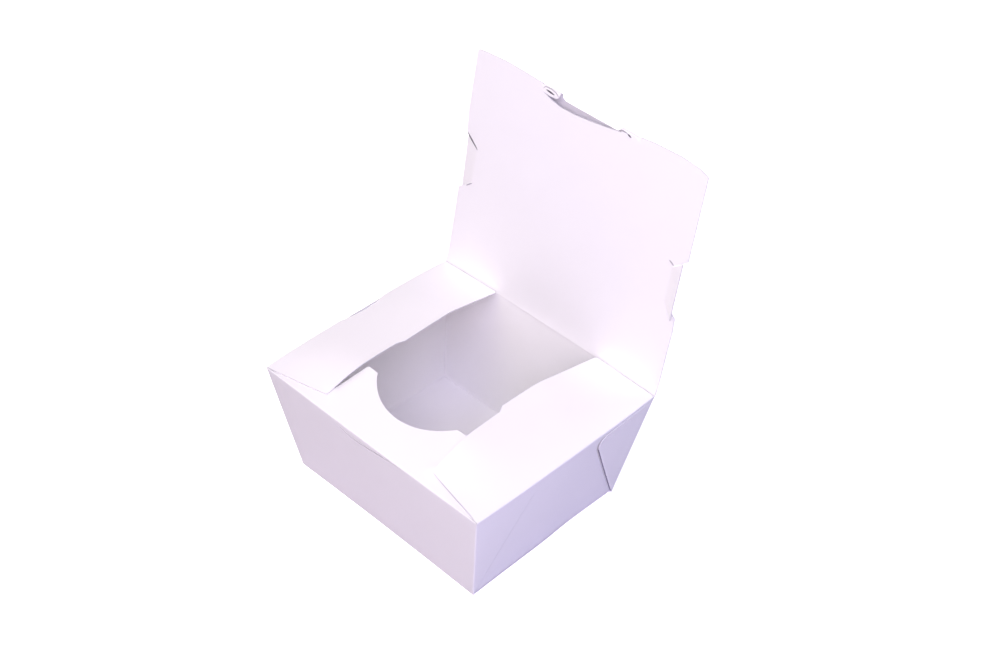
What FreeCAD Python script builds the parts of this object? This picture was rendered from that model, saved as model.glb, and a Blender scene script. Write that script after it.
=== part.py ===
import FreeCAD, Part
import math
import os

os.makedirs("parts", exist_ok=True)

# Folded paperboard takeout food box with its lid standing open. Millimetres.
# Origin: middle of the underside. +Z up, front wall towards -Y, lid hinge at the back.
# One glued sheet makes the tray, its corner ears and its three top flaps.
# The lid is the same sheet beyond the back fold, and turns about that fold.

# Sheet
board = 0.45
fold_radius = 0.8

# Tray, outside sizes at the underside and at the rim
bottom_width = 108.2
bottom_depth = 90.0
rim_width = 128.2
rim_depth = 111.0
rim_height = 60.0

# The lid's fold, a bowed line in the real sheet, stands straight here at its mean height over the rim
back_fold_rise = 1.3

# Corner ears: the webs between walls, folded double and glued outside the side walls
ear_plies = 2
ear_drop = 1.6
ear_tip_radius = 5.0

# Front flap, rising from the front rim under the side flaps
front_flap_rise_deg = 10.5
front_flap_length = 29.6
front_flap_end_width = 60.5
front_flap_waist_width = 65.5
front_flap_shoulder = 8.4
front_flap_corner_gap = 0.8
thumb_notch_width = 49.2
thumb_notch_depth = 12.3
thumb_notch_corner_radius = 1.5

# Side flaps, sprung up from the side rims over the front flap
side_flap_front_width = 32.3
side_flap_back_width = 34.0
side_flap_rear_width = 33.1
side_flap_step_at = 49.0
side_flap_step_run = 3.0
side_flap_front_taper = 6.8
side_flap_front_gap = 0.5
side_flap_back_gap = 1.5
left_flap_rise = 7.6
right_flap_rise = 9.2
side_flap_front_share = 0.15
side_flap_rise_start = 3.0
side_flap_rise_run = 26.0
closed_lid_deg = 12.0
closed_lid_clearance = 0.4

# Lock openings in the folds of the rim
front_slot_width = 50.0
front_slot_drop = 3.6
front_slot_inset = 1.8
side_slot_length = 26.0
side_slot_front = 45.5
left_slot_inset = 3.0
right_slot_inset = 0.4
side_slot_drop = 0.9

# Lid
lid_width = rim_width + 2 * ear_plies * board
lid_length = 108.7
lid_lean_deg = 9.0
lid_hinge_gap = 0.6
lid_face_offset = 0.35
lid_corner_radius = 1.2

# Lid side tabs, cut free by two slanted slits each and bent out of the lid's plane
tab_start = 38.7
tab_end = 67.7
tab_crease_start = 44.7
tab_crease_end = 61.5
tab_depth = 7.4
tab_slit = 0.5
left_tab_bend_deg = -16.0
right_tab_bend_deg = 26.0

# Lock tab at the lid's front edge, folded back behind the lid
lock_width = 50.0
lock_length = 15.0
lock_fold_deg = 152.0
lock_corner_radius = 5.0
lock_opening_width = 40.0
lock_opening_depth = 5.4
lock_opening_tab_depth = 3.6


def vec(x, y, z=0.0):
    return FreeCAD.Vector(x, y, z)


def polygon_face(points):
    return Part.Face(Part.makePolygon([vec(*p) for p in points] + [vec(*points[0])]))


def placed(shape, origin, along, up):
    # Moves a shape drawn in X and Y so that X runs along one direction and Y along the other.
    x_axis = vec(*along).normalize()
    y_axis = vec(*up).normalize()
    z_axis = x_axis.cross(y_axis)
    matrix = FreeCAD.Matrix(
        x_axis.x, y_axis.x, z_axis.x, origin[0],
        x_axis.y, y_axis.y, z_axis.y, origin[1],
        x_axis.z, y_axis.z, z_axis.z, origin[2],
        0, 0, 0, 1,
    )
    moved = shape.copy()
    moved.Placement = FreeCAD.Placement(matrix).multiply(shape.Placement)
    return moved


def mirrored(shape):
    return shape.mirror(vec(0, 0, 0), vec(1, 0, 0))


def rounded_prism(points, radii, thickness):
    # A plate from a polygon, with the corners that have a radius rounded.
    plate = polygon_face(points).extrude(vec(0, 0, thickness))
    for point, radius in zip(points, radii):
        if radius <= 0:
            continue
        edges = []
        for edge in plate.Edges:
            ends = [v.Point for v in edge.Vertexes]
            upright = len(ends) == 2 and abs(ends[0].z - ends[1].z) > thickness / 2
            if upright and math.hypot(ends[0].x - point[0], ends[0].y - point[1]) < 1e-4:
                edges.append(edge)
        plate = plate.makeFillet(radius, edges)
    return plate


# Tray: the outer form less the inner form
side_spread = (rim_width - bottom_width) / 2
front_spread = (rim_depth - bottom_depth) / 2
side_slant = math.hypot(side_spread, rim_height)
front_slant = math.hypot(front_spread, rim_height)


def tray_form(inset_x, inset_y, low, high, radius):
    def ring(z):
        share = z / rim_height
        half_x = bottom_width / 2 + side_spread * share - inset_x
        half_y = bottom_depth / 2 + front_spread * share - inset_y
        corners = [(-half_x, -half_y, z), (half_x, -half_y, z), (half_x, half_y, z), (-half_x, half_y, z)]
        return Part.makePolygon([vec(*c) for c in corners] + [vec(*corners[0])])

    form = Part.makeLoft([ring(low), ring(high)], True, True)
    folds = []
    for edge in form.Edges:
        heights = [v.Z for v in edge.Vertexes]
        if min(heights) < low + 1e-6:
            folds.append(edge)
    return form.makeFillet(radius, folds)


inner_inset_x = board * side_slant / rim_height
inner_inset_y = board * front_slant / rim_height
back_wall_height = rim_height + back_fold_rise
outer_form = tray_form(0, 0, 0, back_wall_height, fold_radius)
inner_form = tray_form(inner_inset_x, inner_inset_y, board, back_wall_height + 1, fold_radius - board)
tray = outer_form.cut(inner_form)
before_back_wall = Part.makeBox(2 * rim_width, rim_depth, rim_height)
before_back_wall.translate(vec(-rim_width, -rim_depth / 2 - inner_inset_y, rim_height))
tray = tray.cut(before_back_wall)

# Corner ears on the side walls. X runs from the bottom corner towards the wall's middle, Y up the wall.
side_lean = math.atan2(front_spread, side_slant)
front_lean = math.atan2(side_spread, front_slant)
web_half_angle = (math.pi / 2 - side_lean - front_lean) / 2
free_edge_angle = web_half_angle - side_lean
ear_height = side_slant - ear_drop
ear_outline = [
    (0, 0),
    (ear_height * math.tan(free_edge_angle), ear_height),
    (-ear_height * math.tan(side_lean), ear_height),
]
ear_plate = rounded_prism(ear_outline, [0, ear_tip_radius, 0], ear_plies * board)
above_table = Part.makeBox(2 * rim_width, 2 * rim_depth, rim_height, vec(-rim_width, -rim_depth, 0))
ears = []
for end in (-1, 1):
    corner = (bottom_width / 2, end * bottom_depth / 2, 0)
    plate = ear_plate
    if end > 0:
        plate = ear_plate.mirror(vec(0, 0, 0), vec(1, 0, 0))
    right_ear = placed(plate, corner, (0, 1, 0), (side_spread, 0, rim_height))
    right_ear = right_ear.common(above_table)
    ears.append(right_ear)
    ears.append(mirrored(right_ear))

# Front flap. X along the front rim from its middle, Y up the flap from the fold.
front_fold = (0, -rim_depth / 2, rim_height)
front_rise = math.radians(front_flap_rise_deg)
front_flap_up = (0, math.cos(front_rise), math.sin(front_rise))
front_flap_outline = [
    (-rim_width / 2 + front_flap_corner_gap, 0),
    (rim_width / 2 - front_flap_corner_gap, 0),
    (front_flap_waist_width / 2, front_flap_shoulder),
    (front_flap_end_width / 2, front_flap_length),
    (-front_flap_end_width / 2, front_flap_length),
    (-front_flap_waist_width / 2, front_flap_shoulder),
]
notch_half = thumb_notch_width / 2
notch_radius = (notch_half ** 2 + thumb_notch_depth ** 2) / (2 * thumb_notch_depth)
notch_centre = front_flap_length - thumb_notch_depth + notch_radius
front_flap = polygon_face(front_flap_outline).extrude(vec(0, 0, -board))
notch = Part.makeCylinder(notch_radius, 4 * board, vec(0, notch_centre, -2 * board))
front_flap = front_flap.cut(notch)
notch_corners = []
for edge in front_flap.Edges:
    ends = [v.Point for v in edge.Vertexes]
    upright = len(ends) == 2 and abs(ends[0].z - ends[1].z) > board / 2
    if upright and abs(abs(ends[0].x) - notch_half) < 0.01 and abs(ends[0].y - front_flap_length) < 0.01:
        notch_corners.append(edge)
front_flap = front_flap.makeFillet(thumb_notch_corner_radius, notch_corners)
front_flap = placed(front_flap, front_fold, (1, 0, 0), front_flap_up)


# Side flaps. Each is a bowed sheet: straight along the fold, and lifted along its free edge.
def under_closed_lid(from_front):
    # Height over the rim that stays clear of the lid at its closing limit.
    to_hinge = rim_depth - from_front
    return back_fold_rise + to_hinge * math.tan(math.radians(closed_lid_deg)) - closed_lid_clearance


def lift(from_front, rise):
    # Height of the free edge over the rim, at a distance back from the front rim.
    share = max(0.0, min(1.0, (from_front - side_flap_rise_start) / side_flap_rise_run))
    front_part = side_flap_front_share + (1 - side_flap_front_share) * math.sin(math.pi / 2 * share)
    return min(rise * front_part, under_closed_lid(from_front))


def smooth_lift(from_front, rise):
    reach = 4.0
    samples = [lift(from_front + reach * k / 4, rise) for k in range(-4, 5)]
    return sum(samples) / len(samples)


def bowed_slab(rise):
    lift_grid = []
    for across in (-8.0, 0.0, 12.0, 24.0, 36.0, 48.0):
        row = []
        step = 4.0
        count = int((rim_depth + 12.0) / step) + 1
        for k in range(count):
            from_front = -6.0 + k * step
            height = smooth_lift(from_front, rise) * across / side_flap_back_width
            row.append(vec(-rim_width / 2 + across, -rim_depth / 2 + from_front, rim_height + height))
        lift_grid.append(row)
    surface = Part.BSplineSurface()
    surface.interpolate(lift_grid)
    return surface.toShape().extrude(vec(0, 0, -board))


step_front = side_flap_step_at - side_flap_step_run / 2
step_back = side_flap_step_at + side_flap_step_run / 2
side_flap_outline = [
    (0, side_flap_front_gap),
    (side_flap_front_width - 0.8, side_flap_front_taper),
    (side_flap_front_width, step_front),
    (side_flap_back_width, step_back),
    (side_flap_rear_width, rim_depth - side_flap_back_gap),
    (0, rim_depth - side_flap_back_gap / 2),
]
side_flap_radii = [0, 1.0, 2.0, 2.0, 1.0, 0]
flap_prism = rounded_prism(side_flap_outline, side_flap_radii, 4 * right_flap_rise)
flap_prism.translate(vec(-rim_width / 2, -rim_depth / 2, rim_height - right_flap_rise))
left_flap = bowed_slab(left_flap_rise).common(flap_prism)
right_flap = mirrored(bowed_slab(right_flap_rise).common(flap_prism))

# Lock openings, cut through the folds
slot_half = front_slot_width / 2
drop_radius = (slot_half ** 2 + front_slot_drop ** 2) / (2 * front_slot_drop)
front_drop = Part.makeCylinder(drop_radius, 6, vec(0, drop_radius - front_slot_drop, -3))
front_drop = front_drop.common(Part.makeBox(front_slot_width, 8, 6, vec(-slot_half, -8, -3)))
front_drop = placed(front_drop, front_fold, (1, 0, 0), (0, -front_spread, rim_height))
inset_radius = (slot_half ** 2 + front_slot_inset ** 2) / (2 * front_slot_inset)
front_inset = Part.makeCylinder(inset_radius, 3, vec(0, front_slot_inset - inset_radius, -1.5))
front_inset = front_inset.common(Part.makeBox(front_slot_width, 4, 3, vec(-slot_half, -0.8, -1.5)))
front_inset = placed(front_inset, front_fold, (1, 0, 0), front_flap_up)


def side_slot(inset):
    # A shallow crescent cut in the left flap along its fold, with the wall's top edge lowered a little.
    half = side_slot_length / 2
    radius = (half ** 2 + inset ** 2) / (2 * inset)
    middle = -rim_depth / 2 + side_slot_front + half
    disc = Part.makeCylinder(radius, 4, vec(-rim_width / 2 + inset - radius, middle, rim_height - 2))
    window = Part.makeBox(inset + 2, side_slot_length, 4)
    window.translate(vec(-rim_width / 2 - 1, middle - half, rim_height - side_slot_drop))
    return disc.common(window)


left_slot = side_slot(left_slot_inset)
right_slot = mirrored(side_slot(right_slot_inset))

box = tray.multiFuse(ears + [front_flap, left_flap, right_flap])
box = box.cut(front_drop)
box = box.cut(front_inset)
box = box.cut(left_slot)
box = box.cut(right_slot)
box = box.removeSplitter()

# Lid. X from its middle, Y up from the hinge line, Z towards the inside of the open lid.
lid_lean = math.radians(lid_lean_deg)
hinge_line = (0, rim_depth / 2 + back_fold_rise * math.tan(lid_lean), back_wall_height)
lid_up = (0, math.sin(lid_lean), math.cos(lid_lean))
half_lid = lid_width / 2
lid_top = -lid_face_offset
lid_panel = rounded_prism(
    [(-half_lid, lid_hinge_gap), (half_lid, lid_hinge_gap), (half_lid, lid_length), (-half_lid, lid_length)],
    [0, 0, lid_corner_radius, lid_corner_radius],
    board,
)
lid_panel.translate(vec(0, 0, lid_top - board))

tab_outline = [
    (half_lid, tab_start),
    (half_lid - tab_depth, tab_crease_start),
    (half_lid - tab_depth, tab_crease_end),
    (half_lid, tab_end),
]
tab_cut_outline = [
    (half_lid + 1, tab_start - 0.8),
    (half_lid - tab_depth, tab_crease_start),
    (half_lid - tab_depth, tab_crease_end),
    (half_lid + 1, tab_end + 0.8),
]
slit_reach = tab_slit * tab_depth / (tab_end - tab_crease_end)
tab_plate_outline = [
    (half_lid, tab_start + slit_reach),
    (half_lid - tab_depth, tab_crease_start),
    (half_lid - tab_depth, tab_crease_end),
    (half_lid, tab_end - slit_reach),
]
tab_space = polygon_face(tab_cut_outline).extrude(vec(0, 0, 4 * board))
tab_space.translate(vec(0, 0, lid_top - 2.5 * board))
tab_plate = polygon_face(tab_plate_outline).extrude(vec(0, 0, board))
tab_plate.translate(vec(0, 0, lid_top - board))
crease_middle = lid_top - board / 2
crease_rod = Part.makeCylinder(
    board / 2,
    tab_crease_end - tab_crease_start,
    vec(half_lid - tab_depth, tab_crease_start, crease_middle),
    vec(0, 1, 0),
)


def bent_tab(bend_deg):
    tab = tab_plate.copy()
    tab.rotate(vec(half_lid - tab_depth, 0, crease_middle), vec(0, 1, 0), -bend_deg)
    return tab.fuse(crease_rod)


# Lock tab: its fold is left only at the two ends of the opening cut across it
lock_half = lock_width / 2
opening_half = lock_opening_width / 2
lock_fold = math.radians(lock_fold_deg)
opening_radius = (opening_half ** 2 + lock_opening_depth ** 2) / (2 * lock_opening_depth)
lock_opening = Part.makeCylinder(
    opening_radius,
    4 * board,
    vec(0, lid_length - lock_opening_depth + opening_radius, lid_top - 2.5 * board),
)
lock_plate = rounded_prism(
    [(-lock_half, 0), (lock_half, 0), (lock_half - 3, lock_length), (-lock_half + 3, lock_length)],
    [0, 0, lock_corner_radius, lock_corner_radius],
    board,
)
lock_cut_radius = (opening_half ** 2 + lock_opening_tab_depth ** 2) / (2 * lock_opening_tab_depth)
lock_cut = Part.makeCylinder(
    lock_cut_radius,
    4 * board,
    vec(0, lock_opening_tab_depth - lock_cut_radius, -2 * board),
)
lock_plate = lock_plate.cut(lock_cut)
lock_plate.translate(vec(0, lid_length - fold_radius, lid_top - board))
fold_axis_height = crease_middle - fold_radius + board / 2
lock_plate.rotate(vec(0, lid_length - fold_radius, fold_axis_height), vec(1, 0, 0), -lock_fold_deg)
lock_bends = []
for start in (-lock_half, opening_half):
    outer = Part.makeCylinder(
        fold_radius,
        lock_half - opening_half,
        vec(start, lid_length - fold_radius, fold_axis_height),
        vec(1, 0, 0),
        360,
    )
    inner = Part.makeCylinder(
        fold_radius - board,
        lock_half - opening_half,
        vec(start, lid_length - fold_radius, fold_axis_height),
        vec(1, 0, 0),
        360,
    )
    beyond = Part.makeBox(
        lock_half - opening_half,
        2 * fold_radius,
        4 * fold_radius,
        vec(start, lid_length - fold_radius, fold_axis_height - 2 * fold_radius),
    )
    lock_bends.append(outer.cut(inner).common(beyond))

lid = lid_panel.cut(lock_opening)
lid = lid.cut(tab_space)
lid = lid.cut(mirrored(tab_space))
lid = lid.multiFuse([bent_tab(right_tab_bend_deg), mirrored(bent_tab(left_tab_bend_deg)), lock_plate] + lock_bends)
lid = placed(lid, hinge_line, (1, 0, 0), lid_up)
lid = lid.removeSplitter()

box.exportStep("parts/box.step")
lid.exportStep("parts/lid.step")

for name, shape in (("box", box), ("lid", lid)):
    print(name, "valid", shape.isValid(), "solids", len(shape.Solids), "volume", round(shape.Volume, 1))
    print(shape.BoundBox)
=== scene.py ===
import math

import bpy
import numpy as np
from mathutils import Matrix, Vector
from mathutils.geometry import delaunay_2d_cdt


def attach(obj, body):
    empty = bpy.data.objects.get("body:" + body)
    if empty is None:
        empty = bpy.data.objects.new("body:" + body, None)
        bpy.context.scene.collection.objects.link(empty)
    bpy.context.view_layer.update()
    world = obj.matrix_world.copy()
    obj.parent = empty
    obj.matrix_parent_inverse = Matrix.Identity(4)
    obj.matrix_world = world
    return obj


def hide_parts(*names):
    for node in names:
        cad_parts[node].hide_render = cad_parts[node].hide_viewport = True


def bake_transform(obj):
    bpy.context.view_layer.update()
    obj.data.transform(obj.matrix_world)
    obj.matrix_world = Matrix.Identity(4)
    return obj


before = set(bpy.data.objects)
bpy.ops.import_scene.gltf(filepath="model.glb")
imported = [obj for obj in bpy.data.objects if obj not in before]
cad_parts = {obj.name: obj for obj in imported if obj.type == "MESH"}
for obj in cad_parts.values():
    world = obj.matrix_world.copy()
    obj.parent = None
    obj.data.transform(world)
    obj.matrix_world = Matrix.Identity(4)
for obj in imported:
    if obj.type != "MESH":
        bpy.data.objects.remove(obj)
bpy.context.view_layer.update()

# Sizes are in millimetres. They become metres when a mesh is made.
MM = 0.001
BOARD = 0.45
RIM_HEIGHT = 60.0
BASE_WIDTH = 110.0
BASE_DEPTH = 90.0
RIM_WIDTH = 130.0
RIM_DEPTH = 111.0
EAR_STEP = 2 * BOARD
FOLD = 0.5
BACK_FOLD_RISE = 1.3

SIDE_OUT = (RIM_WIDTH - BASE_WIDTH) / 2
END_OUT = (RIM_DEPTH - BASE_DEPTH) / 2
SIDE_TILT = math.atan2(SIDE_OUT, RIM_HEIGHT)
END_TILT = math.atan2(END_OUT, RIM_HEIGHT)
SIDE_SLOPE = math.hypot(SIDE_OUT, RIM_HEIGHT)
END_SLOPE = math.hypot(END_OUT, RIM_HEIGHT)
CORNER_LONG = math.hypot(SIDE_OUT, END_SLOPE)

# The corner's fold leans out from the square by these angles in the flat.
SIDE_CORNER = math.atan2(END_OUT, SIDE_SLOPE)
END_CORNER = math.atan2(SIDE_OUT, END_SLOPE)
EAR_ANGLE = (math.pi / 2 - SIDE_CORNER - END_CORNER) / 2
EAR_TILT = EAR_ANGLE - SIDE_CORNER

LID_LEAN = math.radians(9)


def smooth_step(x):
    x = np.clip(x, 0.0, 1.0)
    return x * x * (3 - 2 * x)


def unit(v):
    v = np.asarray(v, float)
    return v / np.linalg.norm(v, axis=-1, keepdims=True)


def hump(x, middle, half):
    """One in the middle, falling smoothly to nothing at half a width from it."""
    return 1 - smooth_step(np.abs(x - middle) / half)


def add_object(name, data):
    made = bpy.data.objects.new(name, data)
    bpy.context.scene.collection.objects.link(made)
    return made


# A fold in a flat sheet is a line with the two distances that its rounding reaches on either side.
def fold(start, end, low=-FOLD, high=FOLD):
    return np.array(start, float), np.array(end, float), low, high


def from_fold(points, line):
    """Distance of points from a fold's line, positive on its left."""
    start, end = line[0], line[1]
    along = unit(end - start)
    rel = points - start
    return rel[..., 1] * along[0] - rel[..., 0] * along[1]


def outside_fold(points, line):
    """Distance of points from the strip that a fold's rounding takes, negative inside it."""
    low, high = line[2], line[3]
    return np.abs(from_fold(points, line) - (low + high) / 2) - (high - low) / 2


def fold_rows(line, count=9, spacing=1.0):
    """Rows of points along a fold, close together over its rounding."""
    start, end, low, high = line
    length = np.linalg.norm(end - start)
    along = (end - start) / length
    side = np.array([-along[1], along[0]])
    rows = []
    for j, offset in enumerate(np.linspace(low, high, count)):
        place = np.arange(spacing / 2 * (j % 2), length, spacing)
        rows.append(start + along * place[:, None] + side * offset)
    return rows


def arc_points(centre, radius, start, end, count):
    angles = np.linspace(start, end, count)
    return [np.array(centre) + radius * np.array([math.cos(a), math.sin(a)]) for a in angles]


def flipped(points):
    """The same points on the other side of the middle, in the other order."""
    return [(-p[0], p[1]) for p in points][::-1]


# Spacing of a sheet's points. The shares are of the sheet's grid.
LONG_STEP = 0.8
SHORT_STEP = 0.16
SHORTEST_EDGE = 0.1
START_SHARE = 0.37
ROW_SHARE = 0.87
CLEAR_SHARE = 0.42
FIELD_TO_FOLD = 0.35
ROW_TO_EDGE = 0.13
SAME_POINT = 1e-5
POINTS_AT_ONCE = 400
# A triangle with less than half this area, in square millimetres, is left out.
SLIVER = 0.002


def resample(loop, folds):
    """Points along a closed outline, closer together near the folds."""
    out = []
    for i in range(len(loop)):
        a = np.array(loop[i], float)
        b = np.array(loop[(i + 1) % len(loop)], float)
        length = np.linalg.norm(b - a)
        done = 0.0
        while done < length - SHORTEST_EDGE:
            p = a + (b - a) * done / length
            out.append(p)
            gap = min([outside_fold(p, line) for line in folds], default=LONG_STEP)
            done += min(LONG_STEP, max(SHORT_STEP, gap))
    return np.array(out)


def inside(points, loops):
    """Which points are inside the outer loop and outside the holes."""
    hit = np.zeros(len(points), bool)
    px, py = points[:, 0:1], points[:, 1:2]
    for loop in loops:
        x0, y0 = loop[:, 0], loop[:, 1]
        x1, y1 = np.roll(x0, -1), np.roll(y0, -1)
        cross = (y0 > py) != (y1 > py)
        with np.errstate(divide="ignore", invalid="ignore"):
            at = x0 + (py - y0) * (x1 - x0) / (y1 - y0)
        hit ^= (np.sum(cross & (px < at), axis=1) % 2).astype(bool)
    return hit


def near_loops(points, loops, reach):
    close = np.zeros(len(points), bool)
    for loop in loops:
        for part in np.array_split(loop, len(loop) // POINTS_AT_ONCE + 1):
            gap = np.sqrt(((points[:, None, :] - part[None, :, :]) ** 2).sum(2)).min(1)
            close |= gap < reach
    return close


def field_points(loops, folds, grid):
    """A loose grid of points over the sheet, left out where the folds have their own rows."""
    low = loops[0].min(0) + grid * START_SHARE
    high = loops[0].max(0)
    rows = np.arange(low[1], high[1], grid * ROW_SHARE)
    columns = np.arange(low[0], high[0], grid)
    field = np.array([(u + grid / 2 * (j % 2), v) for j, v in enumerate(rows) for u in columns])
    keep = inside(field, loops) & ~near_loops(field, loops, grid * CLEAR_SHARE)
    for line in folds:
        keep &= outside_fold(field, line) > FIELD_TO_FOLD
    return field[keep]


def triangles(outline, holes, folds, grid):
    """The flat sheet as points and triangles that run anticlockwise."""
    loops = [resample(loop, folds) for loop in (outline, *holes)]
    points = list(np.vstack(loops))
    edges = []
    start = 0
    for loop in loops:
        n = len(loop)
        edges += [(start + i, start + (i + 1) % n) for i in range(n)]
        start += n
    points += list(field_points(loops, folds, grid))
    for line in folds:
        for row in fold_rows(line):
            keep = inside(row, loops) & ~near_loops(row, loops, ROW_TO_EDGE)
            points += list(row[keep])
    spots = [Vector((float(p[0]), float(p[1]))) for p in points]
    found = delaunay_2d_cdt(spots, edges, [], 0, SAME_POINT)
    flat = np.array([(p.x, p.y) for p in found[0]])
    tris = np.array([face for face in found[2] if len(face) == 3])
    tris = tris[inside(flat[tris].mean(1), loops)]
    a, b, c = flat[tris[:, 0]], flat[tris[:, 1]], flat[tris[:, 2]]
    area = (b[:, 0] - a[:, 0]) * (c[:, 1] - a[:, 1]) - (b[:, 1] - a[:, 1]) * (c[:, 0] - a[:, 0])
    tris[area < 0] = tris[area < 0][:, ::-1]
    return flat, tris[np.abs(area) > SLIVER]


def rim_edges(tris):
    """The directed edges that only one triangle has."""
    own = {(int(t[i]), int(t[(i + 1) % 3])) for t in tris for i in range(3)}
    return [e for e in own if (e[1], e[0]) not in own]


def sheet(name, outline, shape, holes=(), folds=(), grid=2.2, flip=False, shaded=None):
    """A cut sheet laid into space by shape(u, v), which gives its outer face. The board is inside it.

    shaded is a material of painted shade and a function of u and v that says which of the sheet's parts get
    it.
    """
    flat, tris = triangles(outline, holes, folds, grid)
    if flip:
        tris = tris[:, ::-1]
    top = shape(flat[:, 0], flat[:, 1])
    face = np.cross(top[tris[:, 1]] - top[tris[:, 0]], top[tris[:, 2]] - top[tris[:, 0]])
    normal = np.zeros_like(top)
    for k in range(3):
        np.add.at(normal, tris[:, k], face)
    used = np.unique(tris)
    normal[used] = unit(normal[used])
    under = top - normal * BOARD
    rim = sorted(rim_edges(tris))
    rim_ids = sorted({i for edge in rim for i in edge})
    at = {i: k for k, i in enumerate(rim_ids)}
    n, m = len(top), len(rim_ids)
    points = np.vstack([top, under, top[rim_ids], under[rim_ids]]) * MM
    faces = [tuple(map(int, t)) for t in tris]
    faces += [tuple(int(i) + n for i in t[::-1]) for t in tris]
    sides = [(2 * n + at[b], 2 * n + at[a], 2 * n + m + at[a], 2 * n + m + at[b]) for a, b in rim]
    mesh = bpy.data.meshes.new(name)
    mesh.from_pydata([tuple(p) for p in points], [], faces + sides)
    mesh.materials.append(white_board)
    mesh.materials.append(cut_edge)
    slots = np.zeros(len(faces) + len(sides), np.int32)
    slots[len(faces):] = 1
    if shaded is not None:
        material, is_shaded = shaded
        mesh.materials.append(material)
        middle = flat[tris].mean(1)
        slots[:len(faces)] = np.where(np.tile(is_shaded(middle[:, 0], middle[:, 1]), 2), 2, 0)
    mesh.polygons.foreach_set("material_index", slots)
    mesh.polygons.foreach_set("use_smooth", np.ones(len(slots), bool))
    mesh.update()
    return add_object(name, mesh)


def bend(corner, along, normal, angle, past, reach=FOLD):
    """Points of a sheet bent by an angle, past the sharp fold. The rounding has the reach on each side."""
    reach = np.zeros(len(past)) + reach
    along = np.zeros((len(past), 3)) + along
    normal = np.zeros((len(past), 3)) + normal
    angle = np.zeros(len(past)) + angle
    radius = reach / np.tan(angle / 2)
    turned = np.clip((past + reach) / (2 * reach), 0, 1) * angle
    centre = corner - along * reach[:, None] - normal * radius[:, None]
    arc = centre + radius[:, None] * (normal * np.cos(turned)[:, None] + along * np.sin(turned)[:, None])
    after_way = along * np.cos(angle)[:, None] - normal * np.sin(angle)[:, None]
    before = corner + along * past[:, None]
    after = corner + after_way * past[:, None]
    out = np.where((past < -reach)[:, None], before, arc)
    return np.where((past > reach)[:, None], after, out)


# A made-up box isn't flat sided: its walls and folds bow by these amounts.
LEFT_RIM_BOW = 1.7
RIGHT_RIM_BOW = 0.7
RIGHT_FOOT_BOW = 0.3
FRONT_RIM_BOW = 0.35
FRONT_FOOT_BOW = 0.45
BACK_RIM_BOW = 0.5
LEFT_CORNER_BULGE = 0.7
# The bulge and the bows start at these distances from the middle, and are whole after the runs.
BULGE_START = 36.0
BULGE_RUN = 9.0
SIDE_BOW_START = 36.0
SIDE_BOW_RUN = 20.0
END_BOW_START = 30.0
END_BOW_RUN = 14.0


def bow(points):
    """Points of the straight box, moved to where the bowed box has them."""
    x, y, z = points[:, 0].copy(), points[:, 1].copy(), points[:, 2].copy()
    high = np.clip(z / RIM_HEIGHT, 0, 1)
    back = np.clip(np.abs(y) / (BASE_DEPTH / 2 + END_OUT * high), 0, 1)
    out = np.clip(np.abs(x) / (BASE_WIDTH / 2 + SIDE_OUT * high), 0, 1)
    left = LEFT_RIM_BOW * (1 - back ** 4) * high ** 1.6
    left += LEFT_CORNER_BULGE * (1 - high ** 3 / 2) * smooth_step((-y - BULGE_START) / BULGE_RUN)
    right = RIGHT_RIM_BOW * (1 - back ** 3) * high ** 1.5 - RIGHT_FOOT_BOW * (1 - back ** 2) * (1 - high)
    x += np.where(x < 0, -left, right) * smooth_step((np.abs(x) - SIDE_BOW_START) / SIDE_BOW_RUN)
    front = FRONT_RIM_BOW * high ** 2 - FRONT_FOOT_BOW * (1 - high) ** 1.5
    rear = BACK_RIM_BOW * high ** 2
    end_share = smooth_step((np.abs(y) - END_BOW_START) / END_BOW_RUN)
    y += np.where(y < 0, -front, rear) * (1 - out ** 2) * end_share
    return np.stack([x, y, z], 1)


# Finishes, with sizes and heights in metres
FIBRE_SIZE = 0.0007
FIBRE_HEIGHT = 0.00004
CLOUD_SIZE = 0.018
CLOUD_HEIGHT = 0.0004
CLOUD_DARKEST = 0.985
NOISE_LOW = 0.3
NOISE_HIGH = 0.7
NOISE_ROUGHNESS = 0.6


def noise(tree, place, size, detail):
    node = tree.nodes.new("ShaderNodeTexNoise")
    node.inputs["Scale"].default_value = 1.0 / size
    node.inputs["Detail"].default_value = detail
    node.inputs["Roughness"].default_value = NOISE_ROUGHNESS
    tree.links.new(place.outputs["Object"], node.inputs["Vector"])
    return node


def bump(tree, height, distance, strength, under=None):
    node = tree.nodes.new("ShaderNodeBump")
    node.inputs["Strength"].default_value = strength
    node.inputs["Distance"].default_value = distance
    tree.links.new(height.outputs["Fac"], node.inputs["Height"])
    if under is not None:
        tree.links.new(under.outputs["Normal"], node.inputs["Normal"])
    return node


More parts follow.
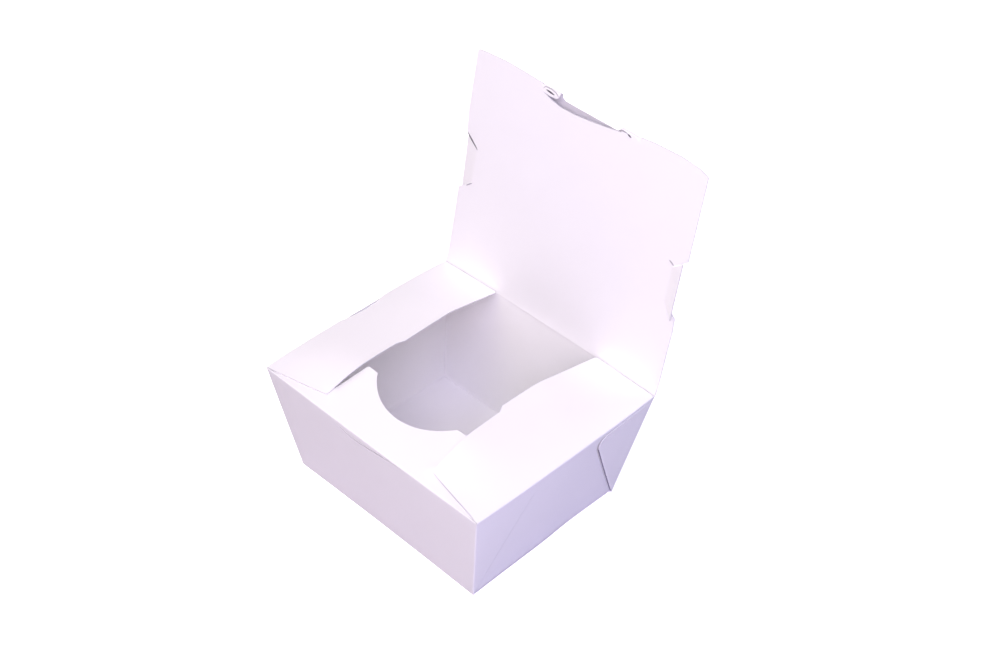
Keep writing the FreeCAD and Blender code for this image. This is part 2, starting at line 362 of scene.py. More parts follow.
def board_material(name, colour, roughness, specular):
    """Coated board: a faint cloudy tone, fine fibre and a slow wave in the surface."""
    material = bpy.data.materials.new(name)
    material.use_nodes = True
    tree = material.node_tree
    shader = tree.nodes["Principled BSDF"]
    shader.inputs["Roughness"].default_value = roughness
    shader.inputs["Specular IOR Level"].default_value = specular
    place = tree.nodes.new("ShaderNodeTexCoord")
    cloud = noise(tree, place, CLOUD_SIZE, detail=5.0)
    tone = tree.nodes.new("ShaderNodeMapRange")
    tone.inputs["From Min"].default_value = NOISE_LOW
    tone.inputs["From Max"].default_value = NOISE_HIGH
    tone.inputs["To Min"].default_value = CLOUD_DARKEST
    tone.inputs["To Max"].default_value = 1.0
    tree.links.new(cloud.outputs["Fac"], tone.inputs["Value"])
    tinted = tree.nodes.new("ShaderNodeVectorMath")
    tinted.operation = "SCALE"
    tinted.inputs[0].default_value = colour
    tree.links.new(tone.outputs["Result"], tinted.inputs["Scale"])
    tree.links.new(tinted.outputs["Vector"], shader.inputs["Base Color"])
    fine = bump(tree, noise(tree, place, FIBRE_SIZE, detail=4.0), FIBRE_HEIGHT, strength=0.12)
    broad = bump(tree, noise(tree, place, CLOUD_SIZE, detail=2.0), CLOUD_HEIGHT, strength=0.2, under=fine)
    tree.links.new(broad.outputs["Normal"], shader.inputs["Normal"])
    return material


WHITE = (0.955, 0.945, 0.96)
# Painted shade for the lock tab's roll, seen through the opening under the lid's fold.
FOLD_SHADE = (0.82, 0.80, 0.86)
# Painted shade for the gap under a back ear's turned free edge.
GAP_SHADE = (0.20, 0.18, 0.27)
# Cut edges are raw fibre, a little greyer than the coated face, and darker still as painted shade along the
# edges.
CUT_FIBRE_AND_SHADE = (0.72, 0.70, 0.74)
white_board = board_material("white coated board", WHITE, roughness=0.6, specular=0.28)
shaded_board = board_material("painted shade inside the lock fold", FOLD_SHADE, roughness=0.8, specular=0.1)
painted_ear_gap_shade = board_material("painted shade in a back ear's gap", GAP_SHADE, roughness=0.8, specular=0.1)
cut_edge = board_material("cut edge: greyer fibre and painted shade", CUT_FIBRE_AND_SHADE, roughness=0.9, specular=0.1)

# The wall sheets run on round their foot by this much, to the underside's sheet.
FOOT_RUN = 2.0

# Ears. In an ear's own flat, X runs along the side wall's foot from the corner and Y runs up the wall.
EAR_TIP_RADIUS = 5.0
EAR_FOOT = 1.2
EAR_START = 0.3
# The free edge turns in under the ear round a radius, and then lies flat for the tuck.
PLY_RADIUS = 0.44
PLY_TUCK = 0.25
PLY_TURN = math.pi * PLY_RADIUS
PLY_EDGE = PLY_TURN + PLY_TUCK
PLY_END_SLANT = 0.8
PLY_END_STEP = 0.02
GAP_START = 0.2 * PLY_TURN
# The corner's fold is sharp at the foot and gets rounder with the height.
FOOT_REACH = 0.12
REACH_GROWTH = 0.12
FREE_UP = np.array([math.sin(EAR_TILT), math.cos(EAR_TILT)])
FREE_OUT = np.array([math.cos(EAR_TILT), -math.sin(EAR_TILT)])
EAR_CORNER_UP = np.array([-math.sin(SIDE_CORNER), math.cos(SIDE_CORNER)])
EAR_CORNER_OUT = np.array([math.cos(SIDE_CORNER), math.sin(SIDE_CORNER)])

# In an end sheet's flat, X runs along the foot from its middle and Y runs up the wall.
CORNER_UP = np.array([math.sin(END_CORNER), math.cos(END_CORNER)])
CORNER_OUT = np.array([math.cos(END_CORNER), -math.sin(END_CORNER)])
CORNER_FOOT = np.array([BASE_WIDTH / 2, 0.0])


def ear_to_end(points):
    """Ear points in the flat of the end sheet that the ear is cut with."""
    out = []
    for p in points:
        out.append(tuple(CORNER_FOOT + CORNER_UP * (p @ EAR_CORNER_UP) + CORNER_OUT * (p @ EAR_CORNER_OUT)))
    return out


def ear_outline(top):
    """From the foot of the ear's free edge up, round the tip and along the top to the corner."""
    sharp_tip = FREE_UP * top / FREE_UP[1]
    tip_cut = EAR_TIP_RADIUS / math.tan((math.pi / 2 - EAR_TILT) / 2)
    tip_start = sharp_tip - FREE_UP * tip_cut
    tip_centre = sharp_tip - np.array([tip_cut, EAR_TIP_RADIUS])
    tip_arc = arc_points(tip_centre, EAR_TIP_RADIUS, -EAR_TILT, math.pi / 2, 9)
    turned_in = [
        FREE_UP * EAR_FOOT,
        FREE_UP * 2 * EAR_FOOT + FREE_OUT * 0.9 * PLY_EDGE,
        FREE_UP * 5 * EAR_FOOT + FREE_OUT * PLY_EDGE,
        tip_start + FREE_OUT * PLY_EDGE - FREE_UP * PLY_END_SLANT,
        tip_start + FREE_OUT * PLY_END_STEP,
    ]
    corner_top = np.array([-math.tan(SIDE_CORNER) * top, top])
    return ear_to_end(turned_in + tip_arc[1:] + [corner_top])


def end_outline(ear_drop, top_edge):
    right_foot = [(BASE_WIDTH / 2 - FOOT_RUN, -FOOT_RUN), tuple(CORNER_FOOT)]
    right = right_foot + ear_outline(SIDE_SLOPE - ear_drop)
    return right + top_edge + flipped(right)


def end_folds():
    corner_top = CORNER_FOOT + CORNER_UP * SIDE_SLOPE
    free_foot, free_top = ear_to_end([np.zeros(2), FREE_UP * SIDE_SLOPE])
    return [
        fold(CORNER_FOOT, corner_top),
        fold(-CORNER_FOOT, (-corner_top[0], corner_top[1])),
        fold(free_foot, free_top, -PLY_TURN, 0),
        fold((-free_foot[0], free_foot[1]), (-free_top[0], free_top[1]), 0, PLY_TURN),
        fold((-BASE_WIDTH / 2, 0), (BASE_WIDTH / 2, 0)),
        fold((-RIM_WIDTH / 2, END_SLOPE), (RIM_WIDTH / 2, END_SLOPE)),
    ]


def in_ear_flat(u, v):
    """An end sheet's points in the ear's own flat, and how far up and past the corner's fold they are."""
    rel = np.stack([np.abs(u), v], 1) - CORNER_FOOT
    up = rel @ CORNER_UP
    past = rel @ CORNER_OUT
    return up[:, None] * EAR_CORNER_UP + past[:, None] * EAR_CORNER_OUT, up, past


def turned_edge_in_painted_shade(u, v):
    """Which points are on the turned free edge. They get painted shade, for the dark gap between the lifted
    ear and the wall.
    """
    beyond = in_ear_flat(u, v)[0] @ FREE_OUT
    return (np.abs(u) > BASE_WIDTH / 2) & (beyond > GAP_START) & (beyond < PLY_TURN)


def ear_place(u, v, sign, wall_out, lifts):
    """Where an end sheet's points come beyond the corner's fold, with the ear's free edge turned in."""
    n = len(u)
    mirror = np.where(u < 0, -1.0, 1.0)
    flat, up, past = in_ear_flat(u, v)
    beyond = flat @ FREE_OUT
    turned = np.clip(beyond / PLY_RADIUS, 0, math.pi)
    slide = PLY_RADIUS * np.sin(turned) - np.maximum(beyond - PLY_TURN, 0)
    sink = np.where(beyond > 0, PLY_RADIUS * (1 - np.cos(turned)), 0)
    flat = flat + FREE_OUT * np.where(beyond > 0, slide - beyond, 0)[:, None]
    along = flat @ EAR_CORNER_UP
    foot = np.stack([mirror * BASE_WIDTH / 2, np.full(n, sign * BASE_DEPTH / 2), np.zeros(n)], 1)
    corner_run = np.stack([mirror * SIDE_OUT, np.full(n, sign * END_OUT), np.full(n, RIM_HEIGHT)], 1)
    corner_way = corner_run / CORNER_LONG
    onward = unit(np.cross(corner_way, np.repeat(wall_out[None], n, 0)))
    onward *= np.sign(onward[:, 0] * mirror)[:, None]
    side_out = np.stack([mirror * RIM_HEIGHT, np.zeros(n), np.full(n, -SIDE_OUT)], 1) / SIDE_SLOPE
    lift = np.radians(np.where(u < 0, lifts[0], lifts[1]))
    angle = np.arccos(side_out @ wall_out) - lift
    reach = np.minimum(FOLD, FOOT_REACH + REACH_GROWTH * np.maximum(up, 0))
    corner = foot + corner_way * along[:, None]
    place = bend(corner, onward, wall_out, angle, flat @ EAR_CORNER_OUT, reach)
    ear_out = wall_out * np.cos(angle)[:, None] + onward * np.sin(angle)[:, None]
    return place - ear_out * sink[:, None], past > -reach


def end_sheet(name, sign, top_edge, ear_drop, lifts, rest_top=None, holes=(), shaded=None):
    """The front (sign -1) or back (sign 1) wall with both its ears.

    ear_drop is how far the ears' tops are under the rim. lifts are the degrees by which the left
    and the right ear stand off the side walls. rest_top lays what is above the rim.
    """
    wall_up = unit([0, sign * END_OUT, RIM_HEIGHT])
    wall_out = unit([0, sign * RIM_HEIGHT, -END_OUT])

    def shape(u, v):
        n = len(u)
        foot = np.stack([u, np.full(n, sign * BASE_DEPTH / 2), np.zeros(n)], 1)
        place = foot + wall_up * v[:, None]
        under = bend(foot, -wall_up, wall_out, math.pi / 2 - END_TILT, -v)
        place = np.where((v < FOLD)[:, None], under, place)
        ear, is_ear = ear_place(u, v, sign, wall_out, lifts)
        is_ear &= (v > EAR_START) & (v < END_SLOPE - FOLD)
        place = np.where(is_ear[:, None], ear, place)
        if rest_top is not None:
            above = rest_top(u, v - END_SLOPE, wall_up, wall_out)
            place = np.where((v > END_SLOPE - FOLD)[:, None], above, place)
        return bow(place)

    outline = end_outline(ear_drop, top_edge)
    return sheet(name, outline, shape, holes, end_folds(), flip=sign > 0, shaded=shaded)


# Side flaps. Widths are from the rim's outer line, and lifts are of the free edge.
FLAP_TIP_WIDTH = 32.5
FLAP_FRONT_WIDTH = 33.2
FLAP_BACK_WIDTH = 34.9
FLAP_REAR_WIDTH = 34.0
FLAP_TIP_AT = 6.6
FLAP_STEP_AT = 48.6
FLAP_STEP_RUN = 2.6
FLAP_BACK_GAP = 1.5
FLAP_FRONT_GAP = 0.45
LEFT_FLAP_RISE = 7.6
RIGHT_FLAP_RISE = 9.2
RISE_START = 5.0
RISE_RUN = 26.0
FRONT_SHARE = 0.15
CLOSED_LID = math.radians(12)
LID_CLEAR = 0.4
FLAP_CLEAR = 0.12
BLUR = range(-4, 5)


def flap_lift(from_front, rise):
    """Height of a side flap's free edge over the rim, at a distance back from the front rim.

    It springs up towards the back and stays under the closed lid. The mean of near places softens it.
    """
    total = 0
    for shift in BLUR:
        at = from_front + shift
        share = np.clip((at - RISE_START) / RISE_RUN, 0, 1)
        sprung = rise * (FRONT_SHARE + (1 - FRONT_SHARE) * np.sin(math.pi / 2 * share))
        under_lid = BACK_FOLD_RISE + (RIM_DEPTH - at) * math.tan(CLOSED_LID) - LID_CLEAR
        total = total + np.minimum(sprung, under_lid)
    return total / len(BLUR)


def under_side_flap(x, from_front):
    """The height over the rim that is just under the side flap there."""
    rise = np.where(x < 0, LEFT_FLAP_RISE, RIGHT_FLAP_RISE)
    inward = RIM_WIDTH / 2 - np.abs(x)
    return flap_lift(from_front, rise) * inward / FLAP_BACK_WIDTH - BOARD - FLAP_CLEAR


# Front sheet: wall, ears and flap
FRONT_FLAP_TILT = math.radians(10.5)
FRONT_FLAP_LONG = 29.6
FRONT_FLAP_SHOULDER = 8.4
FRONT_FLAP_WAIST = 32.8
FRONT_FLAP_END = 30.6
WAIST_CURL = 0.9
CURL_HALF_ACROSS = 7.0
CURL_HALF_BACK = 5.0
COVER_MARGIN = 1.0
NOTCH_HALF = 24.6
NOTCH_DEEP = 12.3
NOTCH_RADIUS = (NOTCH_HALF ** 2 + NOTCH_DEEP ** 2) / (2 * NOTCH_DEEP)


def front_top_edge():
    """The front flap from its right end on the rim, round its thumb notch, to its left end."""
    edge = END_SLOPE + FRONT_FLAP_LONG
    turn = math.asin(NOTCH_HALF / NOTCH_RADIUS)
    centre = (0, edge - NOTCH_DEEP + NOTCH_RADIUS)
    notch = arc_points(centre, NOTCH_RADIUS, -math.pi / 2 + turn, -math.pi / 2, 21)
    right = [
        (RIM_WIDTH / 2 - 0.2, END_SLOPE - 0.5),
        (RIM_WIDTH / 2 - 0.7, END_SLOPE + 0.3),
        (FRONT_FLAP_WAIST, END_SLOPE + FRONT_FLAP_SHOULDER),
        (FRONT_FLAP_END, edge - 0.8),
        (FRONT_FLAP_END - 0.7, edge),
        (NOTCH_HALF + 1.4, edge),
        (NOTCH_HALF + 0.5, edge - 0.25),
    ]
    right += [tuple(p) for p in notch]
    return right + flipped(right)[1:]


def front_flap_place(u, past, wall_up, wall_out):
    """The front flap rises from its fold, and at its waist the side flaps rest on it."""
    rim = np.stack([u, np.full(len(u), -RIM_DEPTH / 2), np.full(len(u), RIM_HEIGHT)], 1)
    place = bend(rim, wall_up, wall_out, math.pi / 2 + END_TILT - FRONT_FLAP_TILT, past)
    from_front = place[:, 1] + RIM_DEPTH / 2
    across = hump(np.abs(place[:, 0]), FRONT_FLAP_WAIST, CURL_HALF_ACROSS)
    touch = across * hump(from_front, FRONT_FLAP_SHOULDER, CURL_HALF_BACK)
    place[:, 2] += WAIST_CURL * touch
    over = place[:, 2] - RIM_HEIGHT - under_side_flap(place[:, 0], from_front)
    covered = np.abs(place[:, 0]) > RIM_WIDTH / 2 - FLAP_FRONT_WIDTH - COVER_MARGIN
    place[:, 2] -= np.where(covered, np.maximum(over, 0) * smooth_step(from_front), 0)
    return place


# The lock slot along the front rim is a narrow slit that sags, deepest left of its middle.
SLOT_LOW = [
    (-24.3, -0.3), (-21.5, -1.3), (-17.5, -2.9), (-13.5, -4.3), (-9.5, -5.0), (-5.5, -4.9),
    (-1.5, -4.3), (3.0, -3.5), (8.0, -2.6), (13.0, -1.8), (18.5, -1.1), (24.7, -0.5),
]
SLOT_WIDTH = 0.75
SLOT_SPAN = 54.0
SLOT_HIGH = [(x, y + SLOT_WIDTH * math.cos(math.pi * x / SLOT_SPAN)) for x, y in SLOT_LOW[::-1]]
front_slot = [(x, END_SLOPE + y) for x, y in SLOT_LOW + SLOT_HIGH]
front = end_sheet("front_wall_and_flap", -1, front_top_edge(), ear_drop=0.6, lifts=(0.3, 0.0),
                  rest_top=front_flap_place, holes=[front_slot])

# The back wall ends just inside the rim's line, where the lid goes on.
BACK_RIM_HALF = RIM_WIDTH / 2 - 0.1
BACK_RIM_UP = END_SLOPE - 0.02
back_rim = [(BACK_RIM_HALF, BACK_RIM_UP), (-BACK_RIM_HALF, BACK_RIM_UP)]
# The back ears' turned free edges get painted shade for the gap under them.
back = end_sheet("back_wall", 1, back_rim, ear_drop=2.3, lifts=(1.0, 0.9),
                 shaded=(painted_ear_gap_shade, turned_edge_in_painted_shade))


# Side sheets: wall and flap. U runs back from the middle, V runs up the wall and on across the flap.
def flap_outline():
    """A side flap from its back end on the rim, round its step, to its front end."""
    front_rim = -RIM_DEPTH / 2
    back_end = RIM_DEPTH / 2 - FLAP_BACK_GAP
    step_back = front_rim + FLAP_STEP_AT + FLAP_STEP_RUN / 2
    step_front = front_rim + FLAP_STEP_AT - FLAP_STEP_RUN / 2
    tip = front_rim + FLAP_TIP_AT
    across = [
        (back_end + 0.4, 0.3),
        (back_end, FLAP_REAR_WIDTH - 0.9),
        (back_end - 0.9, FLAP_REAR_WIDTH),
        (step_back + 0.4, FLAP_BACK_WIDTH),
        (step_back, FLAP_BACK_WIDTH - 0.2),
        (step_front, FLAP_FRONT_WIDTH + 0.1),
        (tip + 1.0, FLAP_TIP_WIDTH),
        (tip + 0.2, FLAP_TIP_WIDTH - 0.3),
        (tip, FLAP_TIP_WIDTH - 0.9),
        (front_rim + FLAP_FRONT_GAP + 0.1, 0.9),
        (front_rim + FLAP_FRONT_GAP, -0.3),
    ]
    return [(u, SIDE_SLOPE + w) for u, w in across]


# The wall comes out over the ears' thickness near the rim, and most of the way at the front ear.
SWELL_START = 0.80
SWELL_RUN = 0.20
FRONT_SWELL = 0.85
FRONT_SWELL_END = -5.0
FRONT_SWELL_RUN = 25.0


def side_shape(sign, rise):
    """How the left (sign -1) or right (sign 1) side sheet is laid into space."""
    up = unit([sign * SIDE_OUT, 0, RIM_HEIGHT])
    out_way = unit([sign * RIM_HEIGHT, 0, -SIDE_OUT])
    foot_x = BASE_WIDTH / 2 - EAR_STEP / math.cos(SIDE_TILT)
    rim_x = RIM_WIDTH / 2

    def shape(u, v):
        n = len(u)
        foot = np.stack([np.full(n, sign * foot_x), u, np.zeros(n)], 1)
        at_rim = smooth_step((v / SIDE_SLOPE - SWELL_START) / SWELL_RUN)
        at_front_ear = FRONT_SWELL * (1 - smooth_step((u - FRONT_SWELL_END) / FRONT_SWELL_RUN))
        out_to_ear = EAR_STEP * np.maximum(at_rim, at_front_ear)
        place = foot + up * v[:, None]
        place[:, 0] += sign * np.where(v < SIDE_SLOPE + 1, out_to_ear, 0)
        under = bend(foot, -up, out_way, math.pi / 2 - SIDE_TILT, -v)
        place = np.where((v < FOLD)[:, None], under, place)
        slope = np.arctan2(flap_lift(u + RIM_DEPTH / 2, rise), FLAP_BACK_WIDTH)
        past = v - SIDE_SLOPE
        past = np.where(past > 0, past / np.cos(slope), past)
        rim = np.stack([np.full(n, sign * rim_x), u, np.full(n, RIM_HEIGHT)], 1)
        folded = bend(rim, up, out_way, math.pi / 2 + SIDE_TILT - slope, past)
        place = np.where((v > SIDE_SLOPE - FOLD)[:, None], folded, place)
        return bow(place)

    return shape


def side_sheet(name, sign, rise, holes=()):
    foot_end = BASE_DEPTH / 2 - BOARD / 2
    rim_end = RIM_DEPTH / 2 - BOARD / 2
    ends = [(foot_end - FOOT_RUN, -FOOT_RUN), (foot_end, 0), (rim_end, SIDE_SLOPE - FOLD)]
    outline = ends + flap_outline() + flipped(ends)
    folds = [fold((-foot_end, 0), (foot_end, 0)), fold((-rim_end, SIDE_SLOPE), (rim_end, SIDE_SLOPE))]
    return sheet(name, outline, side_shape(sign, rise), holes, folds, flip=sign < 0)


LEFT_SLOT = [
    (-10.5, -0.8), (15.5, -0.8), (16.0, 0.2), (13.5, 1.3), (9.0, 2.3),
    (3.0, 2.8), (-3.0, 2.3), (-8.0, 1.2), (-10.8, 0.1),
]
left_slot = [(u, SIDE_SLOPE + v) for u, v in LEFT_SLOT]
left = side_sheet("left_wall_and_flap", -1, LEFT_FLAP_RISE, [left_slot])
right = side_sheet("right_wall_and_flap", 1, RIGHT_FLAP_RISE)

# Underside
base_half_width = BASE_WIDTH / 2 - EAR_STEP - FOOT_RUN
base_half_depth = BASE_DEPTH / 2 - FOOT_RUN
base_corners = [(-base_half_width, -base_half_depth), (base_half_width, -base_half_depth)]
base_outline = base_corners + [(x, -y) for x, y in base_corners[::-1]]


def level_shape(u, v):
    return bow(np.stack([u, v, 0 * u], 1))


underside = sheet("underside", base_outline, level_shape, grid=4.0, flip=True)

# Lid. U runs across from the middle and V runs up the lid from the rim's height.
LID_UP = np.array([0, math.sin(LID_LEAN), math.cos(LID_LEAN)])
LID_BACK = np.array([0, math.cos(LID_LEAN), -math.sin(LID_LEAN)])
LID_FACE = 0.35
LID_HALF = RIM_WIDTH / 2
LID_WAVE = 0.5
CREASE_RUN = 4.0

TAB_X = 57.6
TAB_LOW = 40.4
TAB_HIGH = 68.7
TAB_CREASE_LOW = 46.0
TAB_CREASE_HIGH = 62.8
CUT_GAP = 0.12
LEFT_TAB_LOW_TURN = math.radians(17)
LEFT_TAB_HIGH_TURN = math.radians(10)
RIGHT_TAB_TURN = -math.radians(24)
TAB_SOFTNESS = 1.2
TAB_MARGIN = 0.05
TAB_CREASE_IN = 1.0
TAB_CREASE_HALF = 1.5
FOOT_CREASE_UP = 1.8
FOOT_CREASE_HALF = 1.6

LOCK_FOLD = 110.3
LOCK_RADIUS = 0.85
LOCK_TURN = math.radians(160)
LOCK_START = LOCK_FOLD - LOCK_RADIUS
LOCK_MIDDLE = 0.2
LOCK_HALF = 27.0
LOCK_LONG = 15.5
LOCK_TAPER_FROM = 12.5
LOCK_STRAIGHT_FROM = 3.2
ROLL_MARGIN = 1.35
ROLL_HALF = LOCK_HALF + ROLL_MARGIN
ROLL_LEAD = 0.2
ROLL_SHADE_UP = 1.2


def in_side_tab(u, v):
    """Which points are beyond a side tab's crease and between its two cuts."""
    share = np.clip((np.abs(u) - TAB_X) / (LID_HALF - TAB_X), 0, 1.2)
    low = TAB_CREASE_LOW + (TAB_LOW - TAB_CREASE_LOW) * share
    high = TAB_CREASE_HIGH + (TAB_HIGH - TAB_CREASE_HIGH) * share
    return (np.abs(u) > TAB_X) & (v > low - TAB_MARGIN) & (v < high + TAB_MARGIN)


def lid_shape(u, v):
    # The foot of the lid runs on from the back wall's outer face.
    foot = -BOARD / math.cos(END_TILT)
    behind = LID_FACE + (foot - LID_FACE) * np.exp(-v / CREASE_RUN)
    behind += LID_WAVE * np.sin(np.pi * np.clip(v / LOCK_FOLD, 0, 1)) * (1 - (u / LID_HALF) ** 2)
    height = v.copy()

    # The lock tab rolls back over its fold and down behind the lid.
    past = v - LOCK_START
    is_lock = (past > 0) & (np.abs(u - LOCK_MIDDLE) < ROLL_HALF)
    turned = np.clip(past / LOCK_RADIUS, 0, LOCK_TURN)
    beyond = np.maximum(past - LOCK_RADIUS * LOCK_TURN, 0)
    rolled_up = LOCK_START + LOCK_RADIUS * np.sin(turned) + beyond * math.cos(LOCK_TURN)
    rolled_back = LOCK_RADIUS * (1 - np.cos(turned)) + beyond * math.sin(LOCK_TURN)
    height = np.where(is_lock, rolled_up, height)
    behind = behind + np.where(is_lock, rolled_back, 0)

    # The side tabs turn about their short creases, the left one back and the right one forward.
    tab = in_side_tab(u, v)
    out = np.abs(u) - TAB_X
    soft_out = (np.sqrt(out * out + TAB_SOFTNESS ** 2) + out - TAB_SOFTNESS) / 2
    share = (v - TAB_LOW) / (TAB_HIGH - TAB_LOW)
    left_turn = LEFT_TAB_LOW_TURN + (LEFT_TAB_HIGH_TURN - LEFT_TAB_LOW_TURN) * share
    turn = np.where(u < 0, left_turn, RIGHT_TAB_TURN)
    behind = behind + np.where(tab, np.sin(turn) * soft_out, 0)
    x = np.where(tab, u - np.sign(u) * (1 - np.cos(turn)) * soft_out, u)

    rim_middle = np.array([0, RIM_DEPTH / 2, RIM_HEIGHT])
    place = rim_middle + LID_UP * height[:, None] + LID_BACK * behind[:, None]
    place[:, 0] = x
    return place


def tab_cut(side):
    """The outline's way in and out along both cuts of a side tab, going up."""
    return [
        (side * LID_HALF, TAB_LOW - CUT_GAP),
        (side * TAB_X, TAB_CREASE_LOW - CUT_GAP / 2),
        (side * (TAB_X + CUT_GAP), TAB_CREASE_LOW + CUT_GAP / 2),
        (side * LID_HALF, TAB_LOW),
        (side * LID_HALF, TAB_HIGH),
        (side * (TAB_X + CUT_GAP), TAB_CREASE_HIGH - CUT_GAP / 2),
        (side * TAB_X, TAB_CREASE_HIGH + CUT_GAP / 2),
        (side * LID_HALF, TAB_HIGH + CUT_GAP),
    ]


right_edge = [(LID_HALF, 0), (LID_HALF + 0.1, 20), (LID_HALF + 0.4, 33)] + tab_cut(1)
right_top = [
    (LID_HALF, 109.0), (LID_HALF - 0.4, 109.8), (60, 111.4), (50, 112.3), (36, 111.8), (28.5, 110.9),
]
lock_tab = [
    (LOCK_HALF + 1, LOCK_FOLD + LOCK_STRAIGHT_FROM),
    (LOCK_HALF - 1, LOCK_FOLD + LOCK_TAPER_FROM),
    (LOCK_HALF - 5, LOCK_FOLD + LOCK_LONG),
    (-LOCK_HALF + 3, LOCK_FOLD + LOCK_LONG),
    (-LOCK_HALF - 1, LOCK_FOLD + LOCK_TAPER_FROM),
    (-LOCK_HALF - 1, LOCK_FOLD + LOCK_STRAIGHT_FROM),
]
left_top = [
    (-28.2, 110.8), (-37, 111.3), (-49, 111.5), (-60, 110.8),
    (-LID_HALF - 0.1, 110.2), (-LID_HALF - 0.9, 109.6),
]
left_edge = [(-LID_HALF - 0.9, 80)] + tab_cut(-1)[::-1] + [(-LID_HALF, 20), (-LID_HALF, 0)]
lid_outline = right_edge + right_top + lock_tab + left_top + left_edge

# The opening under the lock tab's fold: a crescent below, and the tab's straight cut edge above.
CRESCENT = [
    (-26.2, 107.2), (-20.8, 105.4), (-15.3, 104.4), (-6.7, 104.6),
    (1.7, 105.6), (9.9, 106.8), (16.3, 108.0), (18.5, 108.5),
]
LOCK_CUT = LOCK_FOLD + 4.6
lock_cut_edge = [
    (17.6, LOCK_START), (16.2, LOCK_CUT - 1.2), (15.0, LOCK_CUT),
    (-15.0, LOCK_CUT), (-16.4, LOCK_CUT - 1.2), (-16.6, LOCK_START),
    (-17.3, 107.8), (-18.6, 107.0), (-22.0, 106.7),
]
opening = CRESCENT + lock_cut_edge


# The lock tab's roll behind the opening gets painted shade: a darker copy of the board, from a little past
# the fold's start.
def in_painted_roll_shade(u, v):
    return (v > LOCK_START + ROLL_SHADE_UP) & (np.abs(u - LOCK_MIDDLE) < ROLL_HALF)


lid_folds = []
for side in (-1, 1):
    crease_x = side * (TAB_X + TAB_CREASE_IN)
    crease = ((crease_x, TAB_CREASE_LOW), (crease_x, TAB_CREASE_HIGH))
    lid_folds.append(fold(*crease, -TAB_CREASE_HALF, TAB_CREASE_HALF))
roll_line = ((-LOCK_HALF, LOCK_START), (LOCK_HALF, LOCK_START))
lid_folds.append(fold(*roll_line, -ROLL_LEAD, LOCK_RADIUS * LOCK_TURN))
foot_line = ((-LID_HALF, FOOT_CREASE_UP), (LID_HALF, FOOT_CREASE_UP))
lid_folds.append(fold(*foot_line, -FOOT_CREASE_HALF, FOOT_CREASE_HALF))
lid = sheet("lid", lid_outline, lid_shape, [opening], lid_folds, shaded=(shaded_board, in_painted_roll_shade))

# Painted shade in the lid's cuts and under the right flap's front end: thin dark lines laid on the board.
SHADE_LIFT = 0.1
SHADE_STEPS = 12


def shade_lines(name, colour, lines, lay):
    """Lines of painted shade with their half widths, pointed at both ends, laid into space by lay(u, v)."""
    points = []
    faces = []
    for path, half_width in lines:
        path = np.array(path, float)
        places = np.linspace(0, 1, SHADE_STEPS + 1)
        knots = np.linspace(0, 1, len(path))
        middle = np.stack([np.interp(places, knots, path[:, k]) for k in (0, 1)], 1)
        along = unit(np.gradient(middle, axis=0))
        pointed = np.sqrt(np.sin(np.pi * places))[:, None]
        side = np.stack([-along[:, 1], along[:, 0]], 1) * half_width * pointed
        first = len(points)
        for p, s in zip(middle, side):
            points += [p + s, p - s]
        for at in range(first, first + 2 * SHADE_STEPS, 2):
            faces.append((at, at + 1, at + 3, at + 2))
    flat = np.array(points)
    place = lay(flat[:, 0], flat[:, 1])
    mesh = bpy.data.meshes.new(name)
    mesh.from_pydata([tuple(p) for p in place * MM], [], faces)
    mesh.materials.append(board_material(name, colour, 0.9, 0.0))
    mesh.update()
    return add_object(name, mesh)


def on_lid(u, v):
    return lid_shape(u, v) - LID_BACK * SHADE_LIFT


def on_right_flap(u, v):
    place = side_shape(1, RIGHT_FLAP_RISE)(u, v)
    place[:, 2] += SHADE_LIFT
    return place


left_tab_top_cut = [(-64.6, 69.1), (-62.0, 67.0), (-57.0, 63.0)]
left_lock_slot = [(-24.6, 108.8), (-22.1, 108.6), (-19.6, 108.3)]
right_lock_slot = [(21.6, 109.3), (23.9, 108.4)]
deep_shade = shade_lines("deep_shade_in_cuts", (0.10, 0.09, 0.11), [
    (left_tab_top_cut, 0.34),
    (left_lock_slot, 0.40),
    (right_lock_slot, 0.35),
], on_lid)
left_tab_low_cut = [(-60.6, 42.9), (-57.2, 45.9)]
right_tab_crease_shade = [(55.6, 65.3), (57.1, 64.6), (58.6, 63.7)]
left_lock_over = [(-26.4, 108.6), (-25.2, 110.0), (-22.0, 110.2), (-18.8, 109.7), (-16.9, 108.0)]
right_lock_over = [(16.6, 108.7), (18.8, 109.5), (21.6, 109.4)]
soft_shade = shade_lines("soft_shade_in_cuts", (0.45, 0.43, 0.47), [
    (left_tab_low_cut, 0.28),
    (right_tab_crease_shade, 0.32),
    (left_lock_over, 0.22),
    (right_lock_over, 0.36),
], on_lid)
for lines_piece in (deep_shade, soft_shade):
    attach(lines_piece, "lid")
front_edge = -RIM_DEPTH / 2 + FLAP_FRONT_GAP
under_right_flap = [(front_edge + 0.6, SIDE_SLOPE + 2.0), (front_edge + 5.9, SIDE_SLOPE + 31.5)]
flap_shade = shade_lines("shade_under_right_flap", (0.62, 0.59, 0.65), [
    (under_right_flap, 0.22),
], on_right_flap)
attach(flap_shade, "box")

# What each piece rides on, and the CAD parts that they stand for, which are hidden
for piece in (front, back, left, right, underside):
    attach(piece, "box")
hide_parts("box")
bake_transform(lid)
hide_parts("lid")

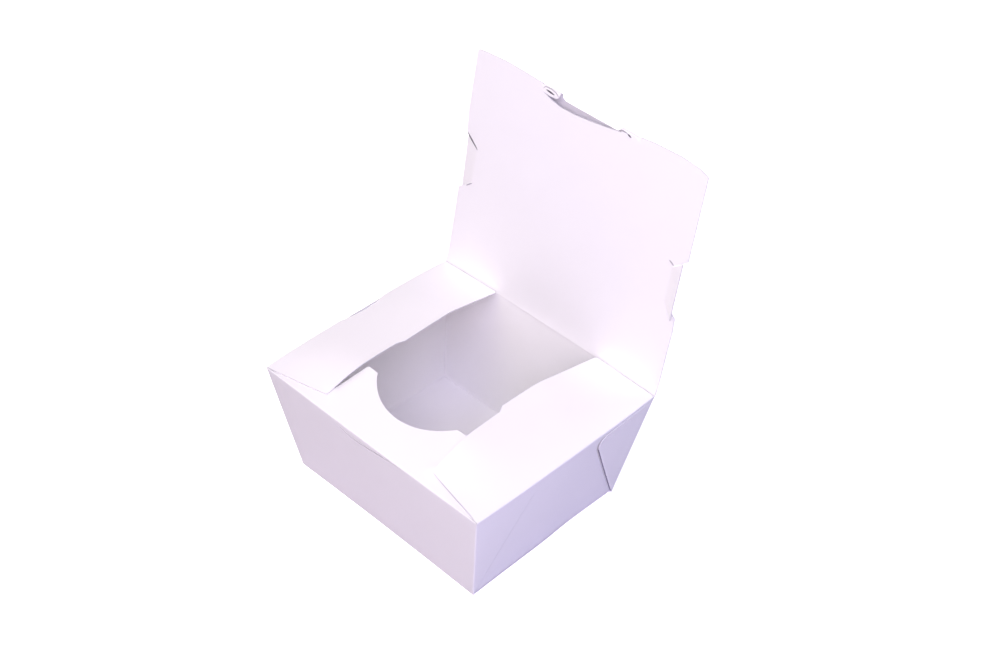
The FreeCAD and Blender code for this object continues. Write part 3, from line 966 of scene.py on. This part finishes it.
# Floor, in metres. The camera sees it white, and it lights the box with its own tone.
CAMERA_WHITE = 2.3
FLOOR_TONE = (0.53, 0.50, 0.57)
FLOOR_HALF = 0.8
FLOOR_UP = -0.0002
floor_mesh = bpy.data.meshes.new("floor")
floor_points = [(x * FLOOR_HALF, y * FLOOR_HALF, FLOOR_UP) for x, y in ((-1, -1), (1, -1), (1, 1), (-1, 1))]
floor_mesh.from_pydata(floor_points, [], [(0, 1, 2, 3)])
floor = add_object("floor", floor_mesh)
floor_material = bpy.data.materials.new("pale floor")
floor_material.use_nodes = True
tree = floor_material.node_tree
shader = tree.nodes["Principled BSDF"]
shader.inputs["Roughness"].default_value = 1.0
shader.inputs["Specular IOR Level"].default_value = 0.0
seen = tree.nodes.new("ShaderNodeLightPath")
tone = tree.nodes.new("ShaderNodeMix")
tone.data_type = "RGBA"
tone.inputs[6].default_value = (*FLOOR_TONE, 1)
tone.inputs[7].default_value = (CAMERA_WHITE, CAMERA_WHITE, CAMERA_WHITE, 1)
tree.links.new(seen.outputs["Is Camera Ray"], tone.inputs[0])
tree.links.new(tone.outputs[2], shader.inputs["Base Color"])
floor_mesh.materials.append(floor_material)

# Background: white to the camera, and a faint cool light to the rest
world = bpy.data.worlds.new("studio")
bpy.context.scene.world = world
world.use_nodes = True
tree = world.node_tree
sky = tree.nodes["Background"]
sky.inputs["Color"].default_value = (0.86, 0.88, 1.0, 1)
sky.inputs["Strength"].default_value = 0.08
plain = tree.nodes.new("ShaderNodeBackground")
plain.inputs["Color"].default_value = (1, 1, 1, 1)
seen = tree.nodes.new("ShaderNodeLightPath")
both = tree.nodes.new("ShaderNodeMixShader")
tree.links.new(seen.outputs["Is Camera Ray"], both.inputs[0])
tree.links.new(sky.outputs[0], both.inputs[1])
tree.links.new(plain.outputs[0], both.inputs[2])
tree.links.new(both.outputs[0], tree.nodes["World Output"].inputs[0])


# Lamps are round and point at the box's middle. Their places and sizes are in metres.
LAMP_AIM = Vector((0, 0, 0.05))


def lamp(name, place, size, power, colour):
    data = bpy.data.lights.new(name, "AREA")
    data.shape = "DISK"
    data.size = size
    data.energy = power
    data.color = colour
    obj = add_object(name, data)
    obj.location = place
    aim = LAMP_AIM - Vector(place)
    obj.rotation_euler = aim.to_track_quat("-Z", "Y").to_euler()


lamp("camera side light", (0.35, -0.40, 0.75), 0.6, 4.4, (0.84, 0.78, 0.99))
lamp("overhead light", (-0.15, -0.50, 0.85), 0.6, 2.4, (1.0, 0.96, 0.72))
lamp("left light", (-0.80, 0.0, 0.70), 0.6, 4.0, (0.98, 0.89, 1.0))
lamp("front light", (0.50, -0.90, 0.45), 0.6, 3.6, (1.0, 0.84, 0.91))
lamp("back light", (0.15, 1.0, 0.45), 0.6, 3.0, (0.95, 0.95, 1.0))
lamp("right light", (1.05, -0.10, 0.14), 0.5, 3.3, (0.58, 0.60, 1.0))

# Camera, fitted to the box's corners in the photo
scene = bpy.context.scene
camera_data = bpy.data.cameras.new("camera")
camera_data.sensor_width = 36
camera_data.lens = 66.89
camera = add_object("camera", camera_data)
eye = Vector((0.41174, -0.42861, 0.60150))
forward = Vector((-0.51389647, 0.55992409, -0.64991955))
upward = Vector((-0.47392738, 0.44619392, 0.75914678))
turn = Matrix((forward.cross(upward), upward, -forward)).transposed().to_4x4()
camera.matrix_world = Matrix.Translation(eye) @ turn
scene.camera = camera
scene.view_settings.view_transform = "Standard"
